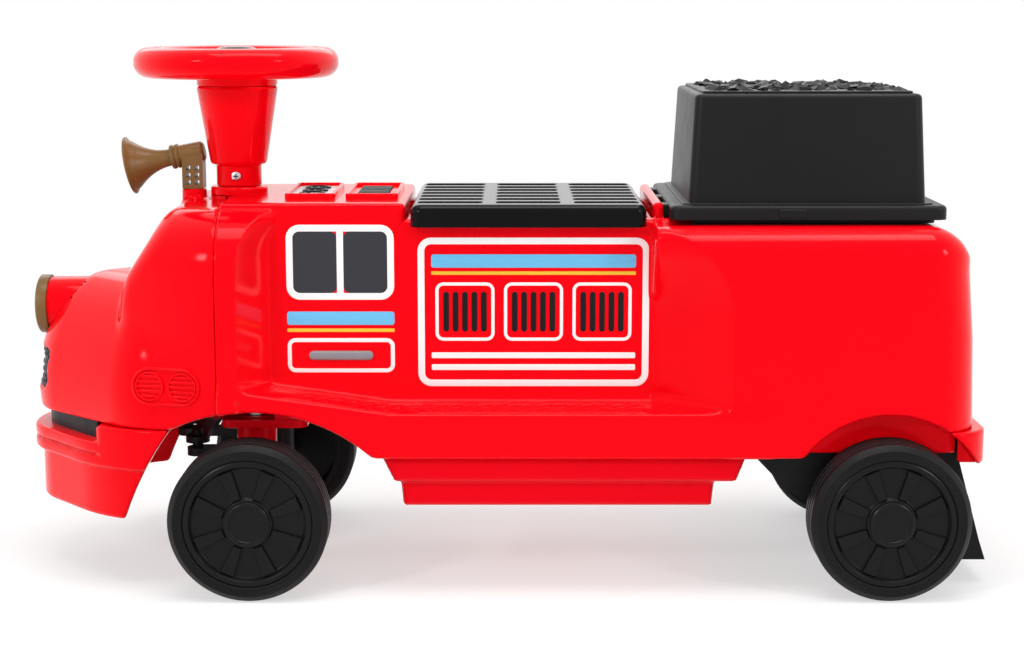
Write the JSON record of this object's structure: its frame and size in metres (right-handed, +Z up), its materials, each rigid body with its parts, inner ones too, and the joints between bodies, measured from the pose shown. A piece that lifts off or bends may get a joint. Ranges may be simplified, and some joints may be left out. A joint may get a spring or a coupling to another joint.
{
  "type": "ride-on train",
  "caption": "Foot-to-floor ride-on train for a toddler: bonneted red body, steerable front wheels, hinged seat over a bin, tender box behind.",
  "frame": {"origin": "on the floor under the middle of the overall box", "axes": "+X forward, +Y to the rider's left, +Z up"},
  "size_m": [0.734, 0.2772, 0.401],
  "materials": {
    "red_plastic": "glossy injection-moulded plastic",
    "chassis_red": "slightly darker glossy plastic",
    "black_gloss": "glossy black plastic",
    "black_satin": "satin black plastic",
    "rim_black": "semi-gloss black plastic",
    "tread": "satin hard plastic tread",
    "glazing": "dark glossy pane",
    "white_plastic": "glossy white plastic",
    "bronze_plastic": "gold-brown plastic",
    "clear_lens": "clear moulded lens",
    "reflector": "bright metallised",
    "grey_plastic": "mid grey plastic",
    "steel": "zinc-plated steel"
  },
  "bodies": {
    "root": {"body_shell": "red_plastic", "nose_shell": "red_plastic", "chassis_pan": "chassis_red", "front_beam": "chassis_red", "front_bumper": "red_plastic", "bumper_strip": "black_gloss", "windscreen": "glazing", "windscreen_frame": "white_plastic", "headlamp_tube": "red_plastic", "headlamp_bezel": "bronze_plastic", "headlamp_lens": "clear_lens", "headlamp_reflector": "reflector", "radiator_grille": "black_gloss", "side_vents": "red_plastic", "horn_bell": "bronze_plastic", "horn_barrel": "bronze_plastic", "horn_stand": "bronze_plastic", "dash_panel_front": "grey_plastic", "dash_panel_rear": "red_plastic", "column_bush_upper": "red_plastic", "column_bush_lower": "black_satin", "kingpin_bushes": "black_satin", "seat_bin": "black_satin", "seat_hinge_pins": "steel", "tender_base": "black_satin", "tender_box": "black_satin", "coal_load": "black_satin", "rear_subframe": "black_satin", "rear_axle": "steel", "anti_tip_leg": "black_satin", "tail_bumper": "red_plastic", "chassis_screws": "steel"},
    "steering": {"steering_wheel": "red_plastic", "steering_cone": "red_plastic", "column_rod": "steel", "column_screw": "steel", "sound_module": "black_satin"},
    "horn_push": {"horn_button": "black_gloss"},
    "seat": {"seat_lid": "black_gloss"},
    "left_knuckle": {"knuckle_left": "black_satin", "kingpin_cap_left": "steel"},
    "right_knuckle": {"knuckle_right": "black_satin", "kingpin_cap_right": "steel"},
    "tie_rod": {"tie_rod": "black_satin"},
    "wheel_front_left": {"tyre_front_left": "tread", "rim_front_left": "rim_black", "hub_cap_front_left": "rim_black"},
    "wheel_front_right": {"tyre_front_right": "tread", "rim_front_right": "rim_black", "hub_cap_front_right": "rim_black"},
    "wheel_rear_left": {"tyre_rear_left": "tread", "rim_rear_left": "rim_black", "hub_cap_rear_left": "rim_black"},
    "wheel_rear_right": {"tyre_rear_right": "tread", "rim_rear_right": "rim_black", "hub_cap_rear_right": "rim_black"}
  },
  "joints": [
    {"name": "steer", "type": "hinge", "parent": "root", "child": "steering", "pos_m": [0.203, 0, 0.3], "axis": [0, 0, 1], "range_deg": [-25, 25]},
    {"name": "horn_press", "type": "slide", "parent": "steering", "child": "horn_push", "axis": [0, 0, -1], "range_m": [0, 0.0025], "stiffness_N_per_m": 400},
    {"name": "steer_left", "type": "hinge", "parent": "root", "child": "left_knuckle", "pos_m": [0.184, 0.07, 0.059], "axis": [0, 0, 1], "range_deg": [-25, 25]},
    {"name": "steer_right", "type": "hinge", "parent": "root", "child": "right_knuckle", "pos_m": [0.184, -0.07, 0.059], "axis": [0, 0, 1], "range_deg": [-25, 25]},
    {"name": "tie_rod_pivot", "type": "hinge", "parent": "left_knuckle", "child": "tie_rod", "pos_m": [0.229, 0.07, 0.1085], "axis": [0, 0, 1], "range_deg": [-25, 25]},
    {"name": "seat_hinge", "type": "hinge", "parent": "root", "child": "seat", "pos_m": [-0.104, 0, 0.2805], "axis": [0, -1, 0], "range_deg": [0, 88]},
    {"name": "spin_front_left", "type": "hinge", "parent": "left_knuckle", "child": "wheel_front_left", "pos_m": [0.184, 0.12, 0.059], "axis": [0, 1, 0], "continuous": true},
    {"name": "spin_front_right", "type": "hinge", "parent": "right_knuckle", "child": "wheel_front_right", "pos_m": [0.184, -0.12, 0.059], "axis": [0, 1, 0], "continuous": true},
    {"name": "spin_rear_left", "type": "hinge", "parent": "root", "child": "wheel_rear_left", "pos_m": [-0.286, 0.12, 0.059], "axis": [0, 1, 0], "continuous": true},
    {"name": "spin_rear_right", "type": "hinge", "parent": "root", "child": "wheel_rear_right", "pos_m": [-0.286, -0.12, 0.059], "axis": [0, 1, 0], "continuous": true}
  ],
  "couplings": [
    {"joint": "steer_left", "follows": "steer", "ratio": 1},
    {"joint": "steer_right", "follows": "steer", "ratio": 1},
    {"joint": "tie_rod_pivot", "follows": "steer", "ratio": -1}
  ]
}
